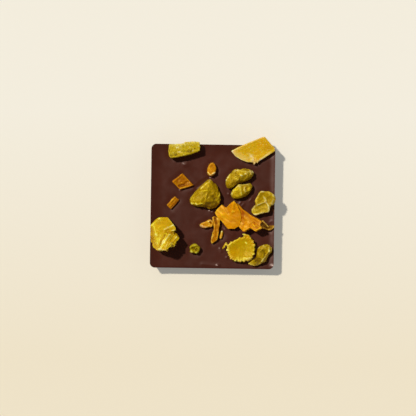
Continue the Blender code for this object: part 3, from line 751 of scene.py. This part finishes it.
disc = {
    "grain": 0.12, "easing": 3, "relief": 0.24,
    "heart": (9.4, -13.6), "radius": 4.4, "narrowing": 1.1, "rimStart": 0.8,
    "toothCrowd": 11, "toothSkew": 0.5, "toothTop": 0.6, "toothDepth": 2.8,
    "toothHeight": 0.17, "unevenCrowd": 4.3, "uneven": 1.4, "rimLevel": 0.7,
    "waveSize": 1.3, "waveHeight": 0.06,
    "fibresFrom": 1.25, "fibreThinning": 0.12,  # the torn fibres, outside the rim
    "marks": [(10.9, -11.5, 11.1, -11.7, 0.6, 0.25), (10.4, -16.4, 12.8, -16.6, 0.7, 0.3)],
    "flange": [(12.2, -16.5, 12.9, -16.7, 1.4, 0.6)],
    # painted highlights on the dimple and along its lower and left rim; darker in its middle and on
    # the torn fibres outside the rim
    "paintedLightAndTone": [(10.9, -11.5, 11.1, -11.7, 0.7, 0.5), (10.4, -16.6, 12.9, -16.6, 0.8, 0.4),
              (6.4, -15.9, 10.4, -17, 0.8, 0.3), (5.1, -12.6, 6, -15.4, 0.6, 0.25),
              (7.6, -14, 9.6, -13.4, 2.4, -0.12), (3.4, -12.9, 4.4, -12.4, 1.1, -0.3),
              (9.6, -9.2, 11.6, -9.9, 0.8, -0.25)],
    "colours": {
        "shadedHollow": (156, 114, 0), "body": (199, 158, 0), "crest": (232, 206, 44),
        "paintedHighlight": (242, 224, 100), "patch": (208, 150, 0), "patchScale": 0.25,
        "speck": (226, 192, 40), "speckScale": 1.4, "speckFrom": 0.66, "fibreScale": 1.0,
        "roughness": 0.38, "bump": 0.25, "depth": 0.35, "contrast": 0.35,
    },
}


def discRim(place, normal):
    x, y = place.x - disc["heart"][0], place.y - disc["heart"][1]
    reach = math.hypot(x, y * disc["narrowing"]) / disc["radius"]
    if reach > disc["fibresFrom"]:
        return -disc["fibreThinning"]
    turn = math.atan2(y, x)
    outward = Vector((math.cos(turn), math.sin(turn), 0))
    rim = min(1, max(0, (reach - disc["rimStart"]) / (1 - disc["rimStart"])))
    uneven = disc["uneven"] * noise.noise(outward * disc["unevenCrowd"])
    notch = abs(noise.noise(outward * disc["toothCrowd"] + place * disc["toothSkew"]))
    tooth = disc["toothTop"] - disc["toothDepth"] * notch
    return (disc["toothHeight"] * rim * (disc["rimLevel"] + tooth + uneven)
            + disc["waveHeight"] * noise.noise(place / disc["waveSize"])
            + (1 - abs(normal.z)) * pressMarks(place, disc["flange"])
            + max(0.0, normal.z) * pressMarks(place, disc["marks"]))


discPiece = copyFruit("fruit_disc", "fruit_disc_slice")
dressFruit(discPiece, disc, discRim)
finishPiece(discPiece, driedFruit("discFlesh", disc["colours"]), "pineapple", "fruit_disc")
print("disc laid")


# The crumbs on the chocolate

nuggetGold = {
    "shadedHollow": (150, 80, 2), "body": (212, 144, 10), "crest": (250, 204, 80),
    "paintedHighlight": (254, 226, 150), "patch": (206, 130, 6), "speck": (150, 84, 4), "speckScale": 2.0,
    "speckFrom": 0.72, "roughness": 0.34, "bump": 0.35, "contrast": 0.5,
}
crumbSkin = {**peel, "grain": 0.1, "easing": 5, "relief": 0.45, "fibreHeight": 0.08,
             "waveHeight": 0.12, "foot": -0.6, "material": "nuggetGold"}
# each crumb's paint strokes are painted highlights on its lit rims and ridges and painted shade in
# its grooves and dents, and broad strokes shift its whole tone a little
crumbs = {
    "nugget_far": {
        "outline": [(-0.3, 14.3), (-1.4, 13.5), (-1.9, 12.1), (-1.9, 10.5), (-0.8, 9.6),
                    (0.7, 10.4), (1, 12.2), (0.7, 13.7)],
        "top": 2.0, "rounding": 0.9,
        "marks": [(-1.6, 11, -0.6, 10, 0.5, 0.35), (-0.4, 10.4, 0.6, 11, 0.6, 0.3),
                  (-0.2, 12.9, 0.2, 12.3, 0.8, -0.2), (-1.2, 13, -0.5, 13.9, 0.5, 0.25),
                  (-1.2, 12.2, -0.5, 11.4, 0.7, 0.2)],
        "paintedLightAndTone": [(-1.7, 10.9, -0.7, 9.9, 0.6, 0.35), (-0.3, 10.4, 0.7, 10.9, 0.7, 0.6),
                  (-1, 12.4, -0.7, 11.6, 0.8, 0.2), (0, 13, 0.5, 12.2, 0.6, -0.25),
                  (-0.8, 13, -0.4, 11, 2.5, -0.14)],
    },
    "nugget_near": {
        "outline": [(-4.1, -5.8), (-4, -6.5), (-3.3, -6.9), (-2.5, -7.1), (-1.7, -6.7),
                    (-0.1, -6.6), (0.4, -5.2), (0, -4.6), (-0.7, -4.1), (-1.8, -4.6)],
        "top": 1.5, "rounding": 0.6,
        "marks": [(-3.9, -6, -1.8, -6.8, 0.6, 0.3), (-1.4, -4.9, -0.4, -4.6, 0.5, 0.25),
                  (-2.6, -5.9, -1.4, -5.9, 0.6, -0.2), (-0.7, -5, -0.4, -5.4, 0.4, -0.3)],
        "paintedLightAndTone": [(-3.9, -6.2, -1.8, -6.9, 0.6, 0.6), (-1.4, -4.8, 0.1, -4.9, 0.5, 0.25),
                  (-3, -6, -0.5, -5.4, 2, 0.15),
                  (-0.8, -5, -0.3, -5.4, 0.5, -0.5)],
    },
    "mango_flake": {
        "outline": [(-9.9, 10.6), (-13.2, 7.9), (-10.6, 5.3), (-8.6, 5.9), (-6.2, 6.8),
                    (-8.3, 9)],
        "top": 0.9, "rounding": 0.25, "material": "peelLeather",
        "marks": [(-10.8, 6.4, -8.8, 7.2, 0.9, -0.25), (-8.7, 7.6, -8, 7.9, 0.6, -0.2),
                  (-10.4, 5.7, -6.9, 6.8, 0.6, 0.3), (-9.9, 10.2, -12.6, 7.9, 0.4, 0.15),
                  (-10, 7.4, -9.5, 7.2, 0.4, 0.2)],
        "paintedLightAndTone": [(-10.8, 6.4, -8.8, 7.2, 0.8, -0.4), (-8.5, 7.6, -8.1, 7.4, 0.6, -0.6),
                  (-10.4, 5.7, -6.7, 6.7, 0.5, 0.3), (-10.5, 7.2, -9.4, 7.6, 0.4, 0.35),
                  (-11, 8.6, -9, 7.6, 3.5, -0.28)],
    },
    "mango_bar": {
        "outline": [(-12.3, 3.2), (-14.9, 0.3), (-13.4, -1.2), (-10.8, 2)],
        "top": 1.0, "rounding": 0.3, "material": "peelLeather",
        "marks": [(-12.2, 2.7, -14.4, 0.3, 0.5, 0.2), (-11.3, 1.8, -13.3, -0.6, 0.5, -0.2)],
        "paintedLightAndTone": [(-12.3, 3, -14.8, 0.4, 0.6, 0.25), (-11, 1.8, -13.3, -0.9, 0.7, -0.4),
                  (-12.6, 1, -13.2, 0.4, 2.5, -0.15)],
    },
    "peel_sliver": {
        "outline": [(3.1, -7.7), (2.7, -8.7), (2.3, -9.8), (2.5, -10.5), (3.1, -10.3),
                    (3.5, -9.2), (3.6, -8.2)],
        "top": 0.8, "rounding": 0.2,
        "marks": [(3.1, -8.1, 2.8, -10.1, 0.4, 0.2)],
        "paintedLightAndTone": [(3.1, -8.1, 2.8, -10.1, 0.5, 0.1)],
    },
}
driedFruit("nuggetGold", nuggetGold)
for name, crumb in crumbs.items():
    look = {**crumbSkin, **crumb}
    layLeather(cutBlock(name, look), look, bpy.data.materials[look["material"]], "mango",
               "chocolate_square")

greenCrumb = {
    "outline": [(-7.3, -13.4), (-6.5, -12.4), (-5.4, -12), (-4.6, -12.6), (-3.8, -13.4),
                (-4.1, -14.3), (-4.7, -15.3), (-5.8, -15), (-7.2, -14.8), (-6.8, -14.1)],
    "foot": -0.6, "top": 1.9, "rounding": 0.8, "grain": 0.1, "easing": 2, "relief": 0.36,
    "heading": 20, "foldLength": 1.2, "foldWidth": 1.1, "foldHeight": 0.25,
    "wrinkleHeight": 0.1, "seed": 5.5,
    "marks": [(-6.2, -12.8, -4.9, -12.6, 0.7, 0.3), (-6.9, -14.4, -6.3, -14.6, 0.7, 0.4),
              (-4.4, -13.4, -4.3, -13.8, 0.6, 0.3), (-5.2, -14.8, -4.9, -14.8, 0.6, 0.3),
              (-6.4, -13.5, -5.8, -13.6, 0.5, -0.4), (-5, -14, -4.9, -13.9, 0.5, -0.4)],
    # painted highlights on its bumps and painted shade in its dents, and a broad stroke that darkens
    # it a little
    "paintedLightAndTone": [(-6.3, -13.5, -5.2, -13.9, 0.7, -0.5), (-5, -14.1, -4.9, -13.8, 0.5, -0.3),
              (-6.9, -14.4, -6.3, -14.8, 0.6, 0.25), (-6.2, -12.8, -5, -12.5, 0.6, 0.2),
              (-5.2, -14.9, -4.8, -14.9, 0.5, 0.2), (-5.6, -13.6, -5.4, -13.6, 3, -0.08)],
    "colours": {"body": (176, 150, 0), "patch": (146, 124, 0), "crest": (222, 208, 44),
                "paintedHighlight": (230, 220, 90)},
}
crumb = cutBlock("green_crumb", greenCrumb)
dressFruit(crumb, greenCrumb, lambda place, normal: skinFolds(place, normal, greenCrumb))
finishPiece(crumb, driedFruit("greenFruit", {**raisinColours, **greenCrumb["colours"]}),
            "golden_raisin", "chocolate_square")
print("crumbs scattered")


# The chocolate square

chocolate = {
    "side": 40.0, "corner": 1.6, "lean": 8.0, "foot": 0.6, "cells": 210,
    "rims": {"left": (0.6, 4.0), "far": (0.6, 4.4), "right": (0.42, 2.1),
             "near": (-0.1, 0.7)},  # height and width
    "rimCurve": 2.2, "wallSteps": 3,
    "turnUnder": [(0.3, 0.04), (0.4, 0.16), (0.3, 0.35)],  # shares of the foot, and inwards
    "clingDrop": 0.15, "clingReach": 1.8,  # beside the fruit
    "waveHeight": 0.05, "waveSize": 6.0,
    "marks": [(-9.2, 13.4, -8.7, 13.5, 1.3, 0.22), (-10.6, 13.9, -8, 13.2, 1.4, 0.08),
              (5.2, 4.1, 5.3, 4, 0.8, 0.18), (-3, -18.7, 1.4, -19.1, 1.2, 0.12),
              (2, -19.1, 2.2, -19.1, 0.9, 0.3), (19.4, -19.1, 19.5, -19.1, 1.1, 0.18),
              (4.9, -16.4, 5, -16.4, 0.8, 0.16), (2.6, -13.6, 3, -14.5, 0.7, 0.16),
              (8.5, 0.8, 9.1, 1.4, 0.8, 0.13), (9.4, 0.3, 10, 0.9, 0.8, 0.13),
              (11.2, 2.8, 11.7, 3.3, 0.8, 0.13), (12, 2, 12.5, 2.6, 0.8, 0.12),
              (-0.9, -1.4, -0.3, -2, 0.6, 0.18), (0, -1.3, 0.4, -2.6, 0.6, 0.2),
              (2.8, -4.2, 3.5, -5.4, 0.7, 0.22), (4.1, -7.5, 6.6, -9.1, 1.4, 0.2),
              (18.6, -4.9, 19, -4.5, 0.8, 0.06), (-0.9, 9.2, -0.6, 9.2, 0.6, 0.18),
              (-10.6, 5.2, -10.4, 5.1, 0.5, 0.14), (-5.4, 6.2, -0.9, 9.3, 1.1, -0.2)],
    "colour": (74, 30, 17), "deepColour": (69, 28, 15), "cloudScale": 0.09,
    "cloudFrom": 0.35, "cloudTo": 0.65, "smearScale": 0.4, "roughness": (0.3, 0.39),
    "bump": 0.12, "specular": 0.5, "specularTint": (1.0, 0.78, 0.68, 1),
}


def roundCorner(place, half, corner):
    # squeezes the grid's corner cells into a quarter circle
    x, y = abs(place.x) - (half - corner), abs(place.y) - (half - corner)
    if x > 0 and y > 0:
        squeeze = max(x, y) / math.hypot(x, y)
        place.x = math.copysign(half - corner + x * squeeze, place.x)
        place.y = math.copysign(half - corner + y * squeeze, place.y)


def rimHeight(side, inward):
    # how far the chocolate climbed the mould's wall
    rise, width = chocolate["rims"][side]
    return rise * max(0, 1 - inward / mm / width) ** chocolate["rimCurve"]


def pouredHeight(place, half):
    # waves, the rims along the walls, and the dimples and drips
    height = chocolate["waveHeight"] * noise.noise(place / mm / chocolate["waveSize"])
    height += max(rimHeight("left", half + place.x), rimHeight("right", half - place.x),
                  rimHeight("far", half - place.y))
    height += rimHeight("near", half + place.y)
    return pouredLevel + height + pressMarks(place / mm, chocolate["marks"])


def clingDrop(trees, place):
    # how far the chocolate was drawn down beside the nearest fruit
    reach = chocolate["clingReach"] * mm
    for tree in trees:
        distance = tree.find_nearest(place, reach)[3]
        if distance is not None:
            reach = min(reach, distance)
    return chocolate["clingDrop"] * (1 - reach / mm / chocolate["clingReach"]) ** 2


def pourFace():
    half, corner = chocolate["side"] / 2 * mm, chocolate["corner"] * mm
    bpy.ops.object.select_all(action="DESELECT")
    bpy.ops.mesh.primitive_grid_add(x_subdivisions=chocolate["cells"],
                                    y_subdivisions=chocolate["cells"],
                                    size=2 * half, location=(0, 0, 0))
    square = bpy.context.object
    square.name = "chocolate_square_poured"
    graph = bpy.context.evaluated_depsgraph_get()
    trees = [BVHTree.FromObject(piece, graph) for piece in fruitPieces]
    for vertex in square.data.vertices:
        place = vertex.co.copy()
        roundCorner(place, half, corner)
        place.z = pouredHeight(place, half) * mm
        place.z -= clingDrop(trees, place) * mm
        vertex.co = place
    return square


def drawWalls(square):
    # the face's edge is drawn down the walls and in under the foot, where it is closed
    wall, foot = pouredLevel - chocolate["foot"], chocolate["foot"]
    lean = math.tan(math.radians(chocolate["lean"]))
    wallSteps = chocolate["wallSteps"]
    steps = [(wall / wallSteps, 0)] * wallSteps  # down and inwards
    steps += [(foot * share, inset) for share, inset in chocolate["turnUnder"]]
    editAll(square)
    bpy.ops.mesh.select_mode(type="EDGE")
    bpy.ops.mesh.region_to_loop()
    width = chocolate["side"]
    for drop, inset in steps:
        narrower = width - 2 * (drop * lean + inset)
        bpy.ops.mesh.extrude_region_move(TRANSFORM_OT_translate={"value": (0, 0, -drop * mm)})
        bpy.ops.transform.resize(value=(narrower / width, narrower / width, 1),
                                 center_override=(0, 0, 0))
        width = narrower
    bpy.ops.transform.resize(value=(1, 1, 0), center_override=(0, 0, 0))
    bpy.ops.mesh.fill_holes(sides=0)
    bpy.ops.mesh.select_all(action="SELECT")
    bpy.ops.mesh.normals_make_consistent(inside=False)
    doneEditing()
    bpy.ops.object.shade_smooth_by_angle(angle=math.radians(40))


def darkChocolate():
    # softly clouded, with smears that are a little duller
    material, nodes, links = newMaterial("darkChocolate")
    shader = nodes["Principled BSDF"]
    clouds = noiseNode(nodes, links, chocolate["cloudScale"], Detail=3.0)
    colour = rampNode(clouds.outputs["Fac"],
                      [(chocolate["cloudFrom"], linear(*chocolate["deepColour"])),
                       (chocolate["cloudTo"], linear(*chocolate["colour"]))])
    links.new(colour, shader.inputs["Base Color"])
    smears = noiseNode(nodes, links, chocolate["smearScale"], Detail=4.0)
    roughen(nodes, links, shader, smears.outputs["Fac"], chocolate["roughness"],
            chocolate["bump"])
    shader.inputs["Specular IOR Level"].default_value = chocolate["specular"]
    shader.inputs["Specular Tint"].default_value = chocolate["specularTint"]
    return material


chocolatePiece = pourFace()
drawWalls(chocolatePiece)
finishPiece(chocolatePiece, darkChocolate(), "dark_chocolate", "chocolate_square")
print("chocolate poured")


# The table, the light and the camera

table = {"size": 900, "near": (222, 207, 176), "far": (228, 220, 203), "fadeFrom": 30,
         "fadeTo": -50, "glow": 0.19, "glowColour": (0.97, 1.0, 0.96, 1), "roughness": 0.9,
         "specular": 0.1}


def laidTable():
    # paler towards the far side
    bpy.ops.object.select_all(action="DESELECT")
    bpy.ops.mesh.primitive_plane_add(size=table["size"] * mm, location=(0, 0, 0))
    tableTop = bpy.context.object
    tableTop.name = "table_top"
    material, nodes, links = newMaterial("paleTable")
    shader = nodes["Principled BSDF"]
    position = nodes.new("ShaderNodeTexCoord")
    split = nodes.new("ShaderNodeSeparateXYZ")
    fade = nodes.new("ShaderNodeMapRange")
    fade.inputs["From Min"].default_value = table["fadeTo"] * mm
    fade.inputs["From Max"].default_value = table["fadeFrom"] * mm
    links.new(position.outputs["Object"], split.inputs["Vector"])
    links.new(split.outputs["Y"], fade.inputs["Value"])
    colour = rampNode(fade.outputs["Result"],
                      [(0.0, linear(*table["near"])), (1.0, linear(*table["far"]))])
    links.new(colour, shader.inputs["Base Color"])
    shader.inputs["Roughness"].default_value = table["roughness"]
    shader.inputs["Specular IOR Level"].default_value = table["specular"]
    shader.inputs["Emission Color"].default_value = table["glowColour"]
    shader.inputs["Emission Strength"].default_value = table["glow"]
    tableTop.data.materials.append(material)
    return tableTop


tableTop = laidTable()

light = {"heading": (0.775, -0.632), "elevation": 56, "strength": 2.75, "softness": 3.5,
         "colour": (1.0, 0.985, 0.95)}
bpy.ops.object.light_add(type="SUN", location=(-0.3, 0.24, 0.5))
sun = bpy.context.object
sun.name = "window_light"
elevation = math.radians(light["elevation"])
beam = Vector((light["heading"][0] * math.cos(elevation),
               light["heading"][1] * math.cos(elevation), -math.sin(elevation)))
sun.rotation_euler = beam.to_track_quat("-Z", "Y").to_euler()
sun.data.energy = light["strength"]
sun.data.angle = math.radians(light["softness"])
sun.data.color = light["colour"]

room = {"colour": (0.96, 0.99, 1.04),
        "glow": [(0.0, 0.34), (0.55, 0.26), (0.85, 0.18), (0.97, 0.05)]}  # from level to above
world = bpy.data.worlds.new("soft_room")
scene.world = world
world.use_nodes = True
nodes, links = world.node_tree.nodes, world.node_tree.links
direction = nodes.new("ShaderNodeTexCoord")
upward = nodes.new("ShaderNodeSeparateXYZ")
links.new(direction.outputs["Generated"], upward.inputs["Vector"])
glow = rampNode(upward.outputs["Z"],
                [(height, tuple(c * strength for c in room["colour"]) + (1,))
                 for height, strength in room["glow"]])  # dark straight above, as by a camera
links.new(glow, nodes["Background"].inputs["Color"])

camera = {"height": 800, "width": 134.4, "right": -1.486, "up": -0.485, "roll": 0.85,
          "sensor": 36, "nearest": 50}
bpy.ops.object.camera_add(location=(0, 0, 0))
eye = bpy.context.object
eye.name = "overhead_camera"
roll = math.radians(camera["roll"])
eye.rotation_euler = (0, 0, roll)
eye.location = ((camera["right"] * math.cos(roll) - camera["up"] * math.sin(roll)) * mm,
                (camera["right"] * math.sin(roll) + camera["up"] * math.cos(roll)) * mm,
                (camera["height"] + pouredLevel) * mm)
eye.data.sensor_width = camera["sensor"]
eye.data.lens = camera["sensor"] * camera["height"] / camera["width"]
eye.data.clip_start = camera["nearest"] * mm
scene.camera = eye
scene.view_settings.view_transform = "Standard"
print("light and camera set")
